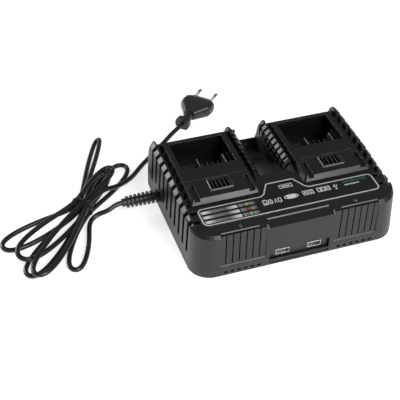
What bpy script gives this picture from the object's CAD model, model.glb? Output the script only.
# Twin-bay slide-pack battery charger with USB sockets, status label, tied mains cord and flat plug.
import math
import bpy
import numpy as np
from mathutils import Matrix, Vector


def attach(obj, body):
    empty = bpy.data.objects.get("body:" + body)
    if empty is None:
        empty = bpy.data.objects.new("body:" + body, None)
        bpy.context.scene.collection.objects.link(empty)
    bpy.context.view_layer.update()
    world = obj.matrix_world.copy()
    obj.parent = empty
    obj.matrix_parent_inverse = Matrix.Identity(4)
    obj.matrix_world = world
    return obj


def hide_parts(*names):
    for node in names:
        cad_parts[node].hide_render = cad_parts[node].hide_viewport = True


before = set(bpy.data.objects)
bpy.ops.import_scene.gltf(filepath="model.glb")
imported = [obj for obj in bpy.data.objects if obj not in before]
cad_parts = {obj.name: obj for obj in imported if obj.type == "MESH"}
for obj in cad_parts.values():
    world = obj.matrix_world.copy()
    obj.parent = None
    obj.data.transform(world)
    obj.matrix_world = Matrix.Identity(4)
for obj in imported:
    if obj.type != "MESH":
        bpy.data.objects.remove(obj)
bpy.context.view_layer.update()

# ---------------------------------------------------------------- Camera and studio
# A white sweep with three softboxes: one high and one low in front of the charger, one
# behind it on the left. The dark sides take their light from the white floor.
def placed(name, data):
    """Object made of camera, lamp, mesh or curve data, linked into the scene."""
    made = bpy.data.objects.new(name, data)
    bpy.context.scene.collection.objects.link(made)
    return made


camera_data = bpy.data.cameras.new("camera")
camera_data.sensor_fit = "HORIZONTAL"
camera_data.sensor_width = 36.0
camera_data.lens = 88.46
camera_data.clip_start = 0.05
camera_data.clip_end = 20.0
camera = placed("camera", camera_data)
camera_right = Vector((0.9453, -0.3258, 0.0165)).normalized()
camera_back = Vector((-0.2573, -0.7136, 0.6516))
camera_back = (camera_back - camera_right * camera_back.dot(camera_right)).normalized()
camera_up = camera_back.cross(camera_right)
camera.matrix_world = Matrix((
    (camera_right.x, camera_up.x, camera_back.x, -0.2987),
    (camera_right.y, camera_up.y, camera_back.y, -0.6412),
    (camera_right.z, camera_up.z, camera_back.z, 0.6110),
    (0, 0, 0, 1)))
bpy.context.scene.camera = camera
bpy.context.scene.view_settings.view_transform = "Standard"


class Shade:
    """A value inside a material. Plus, minus, times and over add the Math nodes."""

    def __init__(self, tree, link=None):
        self.tree, self.link = tree, link

    def node(self, kind, settings, values, out=0):
        """Adds one node: its type, then its settings, then numbers or links for its sockets."""
        made = self.tree.nodes.new(kind)
        for key, value in settings.items():
            if key == "stops":
                ramp = made.color_ramp.elements
                while len(ramp) < len(value):
                    ramp.new(0.5)
                for stop, (place, colour) in zip(ramp, value):
                    stop.position, stop.color = place, colour
            else:
                setattr(made, key, value)
        for key, value in values.items():
            if isinstance(value, Shade):
                self.tree.links.new(value.link, made.inputs[key])
            else:
                made.inputs[key].default_value = value
        return Shade(self.tree, made.outputs[out] if len(made.outputs) else None)

    def maths(self, operation, *values):
        return self.node("ShaderNodeMath", {"operation": operation}, dict(enumerate(values)))

    def __add__(self, other): return self.maths("ADD", self, other)
    def __radd__(self, other): return self.maths("ADD", other, self)
    def __sub__(self, other): return self.maths("SUBTRACT", self, other)
    def __rsub__(self, other): return self.maths("SUBTRACT", other, self)
    def __mul__(self, other): return self.maths("MULTIPLY", self, other)
    def __rmul__(self, other): return self.maths("MULTIPLY", other, self)
    def __truediv__(self, other): return self.maths("DIVIDE", self, other)

    def blend(self, low, high):
        """Colour that goes from low to high as this value goes from 0 to 1."""
        return self.node("ShaderNodeMix", {"data_type": "RGBA"}, {0: self, 6: low, 7: high}, 2)


def new_finish(name):
    """Starts a material and gives its surface position in metres on the charger's own axes."""
    material = bpy.data.materials.new(name)
    material.use_nodes = True
    material.node_tree.nodes.clear()
    start = Shade(material.node_tree)
    return material, start, start.node("ShaderNodeTexCoord", {}, {}, "Object")


def softbox(name, place, side, watts):
    """A square softbox hung at place and turned to the middle of the charger."""
    lamp = bpy.data.lights.new(name, "AREA")
    lamp.shape = "SQUARE"
    lamp.size = side
    lamp.energy = watts
    held = placed(name, lamp)
    held.location = place
    held.rotation_euler = (charger_middle - Vector(place)).to_track_quat("-Z", "Y").to_euler()


charger_middle = Vector((0, 0, 0.03))
softbox("softbox_front", (0.42, -1.05, 1.12), side=0.7, watts=17)
softbox("softbox_low", (0.40, -1.50, 0.24), side=0.4, watts=7)
softbox("softbox_left", (-1.15, 1.15, 0.48), side=0.6, watts=15)

world = bpy.data.worlds.new("studio_room")
world.use_nodes = True
bpy.context.scene.world = world
room = world.node_tree.nodes["Background"]
room.inputs["Color"].default_value = (1, 1, 1, 1)
room.inputs["Strength"].default_value = 0.20

floor_reach = 4
floor_corners = [(floor_reach * x, floor_reach * y, 0)
                 for x, y in ((-1, -1), (1, -1), (1, 1), (-1, 1))]
floor_mesh = bpy.data.meshes.new("studio_floor")
floor_mesh.from_pydata(floor_corners, [], [(0, 1, 2, 3)])
studio_floor = placed("studio_floor", floor_mesh)
floor_finish, start, _ = new_finish("white_sweep")
# the paper is white to the camera and in reflections, and keeps the shadow of the charger
path = start.tree.nodes.new("ShaderNodeLightPath")
seen = start.maths("MAXIMUM", Shade(start.tree, path.outputs["Is Camera Ray"]),
                   Shade(start.tree, path.outputs["Is Glossy Ray"]))
paper = start.node("ShaderNodeBsdfDiffuse", {}, {"Color": (0.8, 0.8, 0.8, 1)})
glow = start.node("ShaderNodeEmission", {}, {"Color": (1, 1, 1, 1), "Strength": 0.70})
both = start.node("ShaderNodeAddShader", {}, {0: paper, 1: glow})
start.node("ShaderNodeOutputMaterial", {}, {
    "Surface": start.node("ShaderNodeMixShader", {}, {0: seen, 1: paper, 2: both})})
floor_mesh.materials.append(floor_finish)


# ---------------------------------------------------------------- Mains cord
# Two-core cord in a black soft jacket, 4.6 mm round. It lies on the floor from the strain
# relief to a hank held by a wire tie, and on to the plug behind the charger. Millimetres.
loop_rings = 13
climb_start, climb_share = 0.32, 0.36
end_power = 0.7


def turned(degrees):
    """Level direction at an angle from +X."""
    return np.array([math.cos(math.radians(degrees)), math.sin(math.radians(degrees)), 0.0])


def hank_loop(entry, leave, heading, length, half_width):
    """Loop from entry to leave: straight mix of both, plus length times sin(180 s) along the
    heading and the half width times sin(360 s) across, to a power below 1 that rounds the
    end; it climbs about the middle third."""
    s = np.arange(1, loop_rings) / loop_rings
    t = np.clip((s - climb_start) / climb_share, 0, 1)
    along, across = turned(heading), turned(heading + 90)
    sense = 1.0 if np.dot(entry - leave, across) >= 0 else -1.0
    points = np.outer(1 - s, entry) + np.outer(s, leave)
    points[:, 2] = entry[2] + (leave[2] - entry[2]) * t * t * (3 - 2 * t)
    points += np.outer(length * np.sin(np.pi * s), along)
    swing = np.sin(2 * np.pi * s)
    wide = sense * half_width * np.sign(swing) * np.abs(swing) ** end_power
    return points + np.outer(wide, across)


def softened(points):
    """Each inner point moves a third of the way to the middle of its neighbours."""
    inner = (points[:-2] + 4 * points[1:-1] + points[2:]) / 6
    return np.vstack([points[:1], inner, points[-1:]])


def rounded_path(points, steps):
    """Catmull-Rom curve through the points: steps short pieces between each two."""
    ends = np.vstack([2 * points[0] - points[1], points, 2 * points[-1] - points[-2]])
    a, b, c, d = (ends[k:len(ends) - 3 + k][:, None, :] for k in range(4))
    t = (np.arange(steps) / steps)[None, :, None]
    curve = 0.5 * (2 * b + (c - a) * t + (2 * a - 5 * b + 4 * c - d) * t ** 2
                   + (3 * b - a - 3 * c + d) * t ** 3)
    return np.vstack([curve.reshape(-1, 3), points[-1:]])


cord_d = 4.6
floor_gap = 0.05
cord_z = cord_d / 2 + floor_gap
boot_tip = np.array([-132.8, 32.0, 13.0])
flat_turn, bend_r = 165, 12
hank_start = np.array([-149.6, 28.4, cord_z])
lead_route = np.array([boot_tip, boot_tip - [cord_d, 0, 0], [-140.4, 31, 10.2],
                       [-143.4, 29.7, 6.2], [-146, 28.2, 3.2],
                       hank_start - 2.4 * turned(flat_turn), hank_start])
waist_step = cord_d + 1
run_half = 6
tie_at = np.array([-168.0, 43.0, cord_z])
waist_u, waist_v = turned(50), turned(140)
# place of each run through the tie, in steps across and up
runs = [(-1, 0), (0, 0), (1, 0), (1, 1), (0, 1), (-1, 1), (1, 2), (0, 2), (-1, 2)]
# loop before each run: heading in degrees, length, half width
loops = [(245, 64, 6.4), (47, 74, 9), (228, 90, 9), (66, 105, 4.0), (202, 82, 10),
         (55, 50, 5), (216, 82, 9), (44, 54, 5), (232, 96, 9)]


def run_end(k, side):
    """End of the k-th run through the tie, on one side of it."""
    return (tie_at + waist_v * waist_step * runs[k][0] + waist_u * run_half * side
            + np.array([0, 0, waist_step * runs[k][1]]))


bend_middle = hank_start + 3.6 * turned(flat_turn) + bend_r * turned(flat_turn + 90)
first_bend = np.array([bend_middle + bend_r * turned(flat_turn + a - 90)
                       for a in (18, 35, 52, 69, 86, 103)])
tail_way, tail_step = turned(33), 2.4
hank_end = run_end(len(runs) - 1, 1) + turned(36) * 7 + tail_way * 4 * tail_step
hank = [hank_start + np.outer(np.arange(3) * 1.8, turned(flat_turn)), first_bend,
        hank_loop(first_bend[-1], run_end(0, -1), *loops[0])]
for k in range(len(runs)):
    side = 1 if k % 2 == 0 else -1
    hank.append(np.array([run_end(k, -side), run_end(k, side)]))
    if k + 1 < len(runs):
        hank.append(hank_loop(run_end(k, side), run_end(k + 1, side), *loops[k + 1]))
hank.append(hank_end - np.outer(np.arange(4, -1, -1) * tail_step, tail_way))
hank_route = softened(softened(np.vstack(hank)))
plug_dir = turned(45.4)
plug_at = np.array([-39.7, 139.3, 6.85])
tail_route = np.array([hank_end, hank_end + tail_way * cord_d, [-134, 59.5, 10], [-122, 67.5, 6],
                       [-110, 78, 3], [-98, 91, cord_z], [-86, 102, cord_z], [-74, 113, cord_z],
                       [-63, 122, 3], [-52, 130.4, 5.4],
                       plug_at - plug_dir * cord_d, plug_at + plug_dir * 1.5])
cord_knots = np.vstack([lead_route, hank_route[1:], tail_route[1:]])
line_points, soften_passes, fall_length = 900, 14, 60
fine_line = rounded_path(cord_knots, 8)
fine_steps = np.linalg.norm(np.diff(fine_line, axis=0), axis=1)
fine_along = np.concatenate([[0], np.cumsum(fine_steps)])
even_along = np.linspace(0, fine_along[-1], line_points)
cord_line = np.stack([np.interp(even_along, fine_along, fine_line[:, k]) for k in range(3)], 1)
for _ in range(soften_passes):
    cord_line = softened(cord_line)
# it comes down evenly from the strain relief to the floor
fall = np.clip(even_along / fall_length, 0, 1)
fall_z = cord_z + (boot_tip[2] - cord_z) * (1 - fall * fall * (3 - 2 * fall))
cord_line[:, 2] = np.maximum(cord_line[:, 2], fall_z)
cord_line /= 1000


def round_wire(name, line, radius, sides):
    """Round tube along a line in metres: a curve of unit bevel whose points carry the radius."""
    curve = bpy.data.curves.new(name, "CURVE")
    curve.dimensions = "3D"
    curve.bevel_depth = 1.0
    curve.bevel_resolution = sides
    curve.use_fill_caps = True
    spline = curve.splines.new("POLY")
    spline.points.add(len(line) - 1)
    spline.points.foreach_set("co", np.hstack([line, np.ones((len(line), 1))]).ravel())
    spline.points.foreach_set("radius", np.full(len(line), radius))
    spline.use_smooth = True
    made = placed(name, curve)
    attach(made, "charger")
    return made


mains_cord = round_wire("mains_cord", cord_line, cord_d / 2000, 5)
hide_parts("cord_lead", "cord_hank", "cord_tail")


def end_finish(start, sockets):
    """Closes a material with its surface shader: numbers stay on its sockets, links vary."""
    shader = start.node("ShaderNodeBsdfPrincipled", {}, sockets)
    start.node("ShaderNodeOutputMaterial", {}, {"Surface": shader})


def varied(colour, factor):
    """The colour times a factor, held at white, with its alpha."""
    return tuple(min(1.0, factor * c) for c in colour) + (1,)


def soft_jacket(name, colour, roughness, grain):
    """Soft moulded vinyl: fine grain in the bump and faint clouds in colour and gloss."""
    material, start, place = new_finish(name)
    clouds = start.node("ShaderNodeTexNoise", {}, {"Vector": place, "Scale": 60.0, "Detail": 3.0})
    skin = start.node("ShaderNodeTexNoise", {}, {"Vector": place, "Scale": grain, "Detail": 2.0})
    tone = clouds.blend(varied(colour, 0.75), varied(colour, 1.3))
    round_edges = start.node("ShaderNodeBevel", {"samples": 4}, {"Radius": 0.0004})
    relief = start.node("ShaderNodeBump", {}, {
        "Strength": 0.15, "Distance": 0.00002, "Height": skin, "Normal": round_edges})
    end_finish(start, {"Base Color": tone, "Roughness": clouds * 0.14 + (roughness - 0.07),
                       "Normal": relief, "Specular IOR Level": 0.5})
    return material


def dress(node, material):
    """Gives a carried-over piece its finish."""
    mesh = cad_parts[node].data
    mesh.materials.clear()
    mesh.materials.append(material)


jacket_finish = soft_jacket("cord_vinyl", (0.010, 0.010, 0.011), 0.34, 2600.0)
mains_cord.data.materials.append(jacket_finish)

# ---------------------------------------------------------------- Strain relief and tie
# Ribbed sleeve of the same soft vinyl, moulded on the cord and trapped in the case wall.
# The hank is held by a thin coated wire, wound twice round it and twisted at its ends.
dress("strain_relief", soft_jacket("relief_vinyl", (0.020, 0.020, 0.021), 0.42, 1500.0))
tie_half_width, tie_middle_z, tie_half_height, tie_pitch = 10.1, 8.6, 7.7, 1.3


def wound_tie():
    """Line of the tie, twice round the waist: a rounded box in the plane across the hank,
    |v|^4 + |w|^4 = 1, that moves by its pitch along the hank per turn and ends in a tail."""
    turn = np.linspace(0.5 * np.pi, 4.5 * np.pi, 97)
    across = np.sign(np.cos(turn)) * np.abs(np.cos(turn)) ** 0.5
    high = np.sign(np.sin(turn)) * np.abs(np.sin(turn)) ** 0.5
    line = (tie_at[None] + np.outer(tie_half_width * across, waist_v)
            + np.outer((turn / (2 * np.pi) - 1.25) * tie_pitch, waist_u))
    line[:, 2] = tie_middle_z + tie_half_height * high
    out = np.arange(1, 8)
    ends = line[-1] + np.outer(out * 0.9, waist_v + 0.5 * waist_u)
    ends[:, 2] = line[-1][2] + 0.1 - 0.12 * out
    return np.vstack([line, ends]) / 1000


tie_wire = round_wire("tie_wire", wound_tie(), 0.0006, 3)
tie_wire.data.materials.append(soft_jacket("tie_coating", (0.012, 0.012, 0.012), 0.45, 1400.0))
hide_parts("twist_tie")

# ---------------------------------------------------------------- Plug
# Flat two-pin plug in hard black vinyl, with half-sleeved nickel pins moulded in.
dress("plug_body", soft_jacket("plug_vinyl", (0.020, 0.020, 0.021), 0.34, 1600.0))
dress("plug_sleeves", soft_jacket("sleeve_plastic", (0.60, 0.60, 0.58), 0.4, 2200.0))


def plated_metal(name, colour, roughness, metallic=1.0):
    """Bright plated metal: fine drawn lines in the bump, uneven polish."""
    material, start, place = new_finish(name)
    polish = start.node("ShaderNodeTexNoise", {}, {"Vector": place, "Scale": 320.0, "Detail": 3.0})
    stretched = start.node("ShaderNodeMapping", {}, {"Vector": place, "Scale": (3000, 400, 3000)})
    drawn = start.node("ShaderNodeTexNoise", {}, {"Vector": stretched, "Scale": 1.0, "Detail": 1.0})
    tone = polish.blend(varied(colour, 0.86), varied(colour, 1.06))
    round_edges = start.node("ShaderNodeBevel", {"samples": 4}, {"Radius": 0.00015})
    relief = start.node("ShaderNodeBump", {}, {
        "Strength": 0.12, "Distance": 0.00002, "Height": drawn, "Normal": round_edges})
    end_finish(start, {"Base Color": tone, "Metallic": metallic,
                       "Roughness": polish * 0.16 + (roughness - 0.08), "Normal": relief})
    return material


nickel_finish = plated_metal("nickel_plate", (0.68, 0.68, 0.67), 0.22)
dress("plug_pins", nickel_finish)


# ---------------------------------------------------------------- Upper case
# One injection-moulded shell in black glass-filled nylon with a spark-eroded grain. Three low
# ridges stand on its deck, over the USB panel and over the two front louvres.
def case_plastic(name, colour, roughness, grain=2100.0, depth=0.00005):
    """Moulded black plastic: fine spark grain, faint clouds in colour and gloss, soft edges."""
    material, start, place = new_finish(name)
    clouds = start.node("ShaderNodeTexNoise", {}, {"Vector": place, "Scale": 26.0, "Detail": 4.0})
    grains = start.node("ShaderNodeTexNoise", {}, {"Vector": place, "Scale": grain, "Detail": 2.0})
    round_edges = start.node("ShaderNodeBevel", {"samples": 4}, {"Radius": 0.0006})
    tone = clouds.blend(varied(colour, 0.8), varied(colour, 1.2))
    relief = start.node("ShaderNodeBump", {}, {
        "Strength": 0.35, "Distance": depth, "Height": grains, "Normal": round_edges})
    end_finish(start, {"Base Color": tone, "Roughness": clouds * 0.16 + (roughness - 0.08),
                       "Normal": relief, "Specular IOR Level": 0.5})
    return material


case_finish = case_plastic("case_nylon", (0.0085, 0.0087, 0.0086), 0.40)
dress("upper_shell", case_finish)
bead_finish = case_plastic("bead_nylon", (0.03, 0.03, 0.03), 0.36)
deck_top = 47.0


def edge_bead(name, left, right, y, size):
    """Low ridge on the deck, in millimetres: its section (a slope to the front, a narrow crown
    and a steep back) runs along x from left to right and shrinks to a tenth at both ends."""
    across = np.array([-1.0, 0.0, 0.4, 0.8])
    up = np.array([0.0, 0.9, 0.9, 0.0])
    x = np.array([left, left + 0.8, right - 0.8, right])
    scale = np.array([0.1, 1.0, 1.0, 0.1])[:, None] * size
    points = np.stack(np.broadcast_arrays(
        x[:, None], y + scale * across, deck_top + scale * up), -1)
    faces = [(k, k + 4, k + 5, k + 1) for i in range(3) for k in range(4 * i, 4 * i + 3)]
    mesh = bpy.data.meshes.new(name)
    mesh.from_pydata((points.reshape(-1, 3) / 1000).tolist(), [], faces)
    mesh.materials.append(bead_finish)
    made = placed(name, mesh)
    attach(made, "charger")


edge_bead("bead_middle", -30.0, 30.0, -65.2, 1.0)
edge_bead("bead_left", -74.3, -38.0, -70.9, 0.8)
edge_bead("bead_right", 38.0, 74.3, -70.9, 0.8)

# ---------------------------------------------------------------- Lower case, feet and screws
# Shallow tray of the same nylon, a shade greyer. Four rubber feet are pressed into its floor
# and four zinc-plated screws hold the two shells together from below.
dress("lower_shell", case_plastic("tray_nylon", (0.015, 0.015, 0.0145), 0.46))
dress("rubber_feet", soft_jacket("foot_rubber", (0.015, 0.015, 0.015), 0.8, 900.0))
dress("case_screws", plated_metal("zinc_plate", (0.55, 0.56, 0.57), 0.35))

# ---------------------------------------------------------------- Battery bays
# Two drop-in bays with rails, and a latch pad with its air grille in front of each, in the
# same nylon with a smoother grain, so that they look darker and glossier than the case.
bay_finish = case_plastic("bay_nylon", (0.0065, 0.0067, 0.0066), 0.33, grain=2600.0, depth=0.00003)
for side in ("left", "right"):
    dress("battery_bay_" + side, bay_finish)
    dress("latch_pad_" + side, bay_finish)
    dress("air_grille_" + side, case_finish)

# ---------------------------------------------------------------- Terminals
# Each block is black glass-filled plastic. Two tinned brass blades and four thin signal
# contacts stand out of it towards the back.
blade_finish = plated_metal("tinned_brass", (0.52, 0.51, 0.47), 0.3)
contact_finish = plated_metal("contact_plate", (0.17, 0.16, 0.14), 0.4)
block_finish = case_plastic("terminal_plastic", (0.012, 0.012, 0.012), 0.4)
for side in ("left", "right"):
    dress("terminal_block_" + side, block_finish)
    dress("power_blades_" + side, blade_finish)
    dress("signal_contacts_" + side, contact_finish)

# ---------------------------------------------------------------- Label
# Printed polyester film stuck into a shallow seat of the deck: satin black, with a silver
# line round it, three pale status bars and generic marks. Millimetres.
dress("label_plate", case_plastic("label_film", (0.006, 0.0065, 0.0065), 0.3,
                                  grain=900.0, depth=0.00001))
dress("label_outline", plated_metal("silver_print", (0.70, 0.71, 0.72), 0.42, metallic=0.25))
label_top = 47.33
ink_spread = 1.35
row = -45.2
# the status bars, in metres: they start this far left of the middle and are this long
bars_start, bars_length = 0.0816, 0.050


def bar_print():
    """Silver print whose tone runs along each bar: bright ends, dark middle, one dark cut."""
    material, start, place = new_finish("bar_print")
    along = start.node("ShaderNodeSeparateXYZ", {}, {"Vector": place}, 0)
    share = (along + bars_start) / bars_length
    stops = [(0.0, 0.45), (0.07, 0.80), (0.2, 0.22), (0.46, 0.13), (0.6, 0.66), (0.672, 0.80),
             (0.676, 0.004), (0.7, 0.004), (0.704, 0.30), (0.82, 0.14), (0.93, 0.26), (1.0, 0.10)]
    greys = [(at, (grey, grey, grey, 1)) for at, grey in stops]
    tone = start.node("ShaderNodeValToRGB", {"stops": greys}, {"Fac": share})
    end_finish(start, {"Base Color": tone, "Roughness": 0.42, "Metallic": 0.2})
    return material


dress("status_bars", bar_print())


def print_stroke(corners, width, closed):
    """Flat ribbon on the label: each corner moves to both sides along the mean of its two
    neighbours' normals, by half the width and the spread of the ink."""
    line = np.array(corners, float)
    after, before = np.roll(line, -1, 0) - line, line - np.roll(line, 1, 0)
    if not closed:
        after[-1], before[0] = before[-1], after[0]
    after /= np.linalg.norm(after, axis=1)[:, None]
    before /= np.linalg.norm(before, axis=1)[:, None]
    across = np.stack([-after[:, 1] - before[:, 1], after[:, 0] + before[:, 0]], 1)
    across *= (ink_spread * width / np.maximum((across ** 2).sum(1), 0.5))[:, None]
    level = np.full((len(line), 1), label_top)
    points = np.hstack([np.vstack([line + across, line - across]), np.vstack([level, level])])
    count = len(line)
    faces = [(k, count + k, count + (k + 1) % count, (k + 1) % count)
             for k in range(count if closed else count - 1)]
    return points / 1000, faces


def printed_marks(name, strokes, material):
    """One piece of print: all strokes of a colour joined into one mesh."""
    points, faces, done = [], [], 0
    for corners, width, closed in strokes:
        more, quads = print_stroke(corners, width, closed)
        points.append(more)
        faces += [tuple(done + k for k in quad) for quad in quads]
        done += len(more)
    mesh = bpy.data.meshes.new(name)
    mesh.from_pydata(np.vstack(points).tolist(), [], faces)
    mesh.materials.append(material)
    made = placed(name, mesh)
    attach(made, "charger")


def ring(x, y, rx, ry, sides=20):
    """Ellipse of the given half sizes about (x, y)."""
    turn = np.linspace(0, 2 * np.pi, sides, endpoint=False)
    return np.stack([x + rx * np.cos(turn), y + ry * np.sin(turn)], 1)


def frame_of(x, y, w, h):
    """Rectangle of size w by h about (x, y)."""
    return [(x - w / 2, y - h / 2), (x + w / 2, y - h / 2),
            (x + w / 2, y + h / 2), (x - w / 2, y + h / 2)]


def dashes(first, end, pitch, length, y, width):
    """Short level strokes at an even pitch, from first up to end."""
    return [([(x, y), (x + length, y)], width, False) for x in np.arange(first, end, pitch)]


# White print, each stroke with its width and whether it closes: a battery, a ring with a bar,
# a gauge and a plain block, then the pill, a pack outline, a grid, three cells and a fork. A
# small plain frame stands on the tongue, and a row of dashes at the right.
white_marks = [
    (frame_of(-22.6, row, 4.0, 5.6), 0.55, True),
    ([(-23.6, row + 3.5), (-21.6, row + 3.5)], 0.9, False),
    ([(-23.6, row - 1.2), (-21.6, row - 1.2)], 1.4, False),
    (ring(-17.6, row, 1.8, 2.8), 0.55, True),
    ([(-17.6, row - 1.6), (-17.6, row + 1.6)], 0.6, False),
    ([(-14, row - 2.6), (-12.6, row + 2.6), (-11.6, row - 2.6)], 0.6, False),
    (frame_of(-8.9, row + 0.3, 2.6, 4.4), 0.6, True),
    ([(-9.9, row - 2.9), (-7.9, row - 2.9)], 0.5, False),
    (ring(2.6, row + 1.2, 6.4, 2.5, 28), 0.7, True),
    ([(-1.6, row + 1.2), (6.8, row + 1.2)], 2.4, False),
    (frame_of(16.0, row + 1.6, 3.6, 5.2), 0.5, True),
    ([(15.2, row + 0.6), (16, row + 2.6), (16.9, row + 0.6)], 0.6, False),
    (frame_of(21.6, row + 1.6, 4.6, 5.2), 0.5, True),
    ([(20.2, row + 2.8), (23.0, row + 2.8)], 0.7, False),
    ([(20.2, row + 0.6), (23.0, row + 0.6)], 0.7, False),
    (frame_of(29.6, row + 1.8, 2.8, 5.0), 0.6, True),
    (frame_of(33.6, row + 1.8, 2.8, 5.0), 0.6, True),
    (frame_of(38.2, row + 1.8, 3.6, 5.0), 0.6, True),
    ([(36.9, row + 1.8), (39.5, row + 1.8)], 0.6, False),
    ([(45.6, row - 0.8), (45.6, row + 4.8)], 0.55, False),
    ([(43.9, row + 3.2), (43.9, row + 1.8), (45.6, row + 0.7)], 0.5, False),
    ([(47.3, row + 3.6), (47.3, row + 2.2), (45.6, row + 1.1)], 0.5, False),
    (ring(45.6, row - 1.2, 0.6, 0.6, 10), 0.5, True),
    (frame_of(3.2, -29.0, 12.0, 4.2), 0.5, True),
    (frame_of(3.2, -29.0, 7.6, 1.0), 0.5, True)]
white_marks += dashes(54.6, 68, 2.1, 1.5, row + 1.0, 1.0)
printed_marks("label_marks", white_marks,
              soft_jacket("white_print", (0.66, 0.67, 0.68), 0.45, 900.0))
green_marks = (dashes(54.4, 76, 2.3, 1.7, row + 4.2, 0.5)
               + dashes(54.4, 76, 2.3, 1.7, row + 6.2, 0.5))
printed_marks("label_lines", green_marks,
              soft_jacket("green_print", (0.05, 0.20, 0.14), 0.45, 900.0))


# ---------------------------------------------------------------- Lamps
# Clear moulded light guides over small chips: green, red, green beside the bars, and two
# frosted domes near the front edge.
def lamp_lens(name, colour, glow):
    """Tinted clear plastic that glows a little from inside."""
    material, start, place = new_finish(name)
    depth = start.node("ShaderNodeTexNoise", {}, {"Vector": place, "Scale": 500.0, "Detail": 1.0})
    tone = depth.blend(varied(colour, 0.8), varied(colour, 1.2))
    end_finish(start, {"Base Color": tone, "Roughness": 0.2, "Emission Color": tone,
                       "Emission Strength": glow, "Coat Weight": 0.3})
    return material


dress("ready_lenses", lamp_lens("green_lens", (0.18, 0.38, 0.10), 0.22))
dress("charging_lens", lamp_lens("red_lens", (0.30, 0.035, 0.035), 0.18))
dress("usb_lamp_domes", lamp_lens("frosted_lens", (0.035, 0.037, 0.037), 0.0))
dress("lamp_chips", lamp_lens("chip_resin", (0.8, 0.78, 0.6), 0.0))

# ---------------------------------------------------------------- USB sockets
# Two bright steel shells with white tongues behind a black bezel in the front recess.
dress("usb_bezel", case_plastic("bezel_plastic", (0.018, 0.018, 0.018), 0.42))
socket_finish = plated_metal("socket_steel", (0.72, 0.73, 0.74), 0.2)
dress("usb_socket_left", socket_finish)
dress("usb_socket_right", socket_finish)
dress("usb_tongues", soft_jacket("tongue_plastic", (0.75, 0.75, 0.73), 0.45, 1500.0))

# ---------------------------------------------------------------- Inside
# Boards, transformer, capacitors, relays, heat sinks, leads and the fan, seen only through
# the vents.
board_finish = soft_jacket("solder_mask", (0.02, 0.09, 0.045), 0.35, 1200.0)
for node in ("usb_board", "lamp_board", "main_board"):
    dress(node, board_finish)
dress("transformer_core", soft_jacket("ferrite", (0.045, 0.045, 0.05), 0.6, 1500.0))
dress("transformer_winding", soft_jacket("winding_tape", (0.62, 0.40, 0.05), 0.4, 800.0))
dress("filter_choke", plated_metal("enamelled_copper", (0.55, 0.22, 0.09), 0.35, 0.7))
sleeve_finish = soft_jacket("capacitor_sleeve", (0.02, 0.03, 0.06), 0.3, 1000.0)
dress("bulk_capacitor", sleeve_finish)
dress("output_capacitors", sleeve_finish)
dress("heat_sinks", plated_metal("extruded_aluminium", (0.62, 0.63, 0.64), 0.4))
dress("power_transistors", block_finish)
dress("glass_fuse", lamp_lens("fuse_glass", (0.6, 0.64, 0.62), 0.0))
dress("relays", soft_jacket("relay_case", (0.03, 0.06, 0.22), 0.4, 1000.0))
lead_finish = soft_jacket("red_insulation", (0.40, 0.03, 0.02), 0.4, 1500.0)
dress("bay_leads_left", lead_finish)
dress("bay_leads_right", lead_finish)
dress("mains_leads", soft_jacket("blue_insulation", (0.03, 0.12, 0.38), 0.4, 1500.0))
dress("fan_frame", block_finish)
dress("fan_rotor", block_finish)
dress("fan_pin", nickel_finish)

bpy.context.view_layer.update()
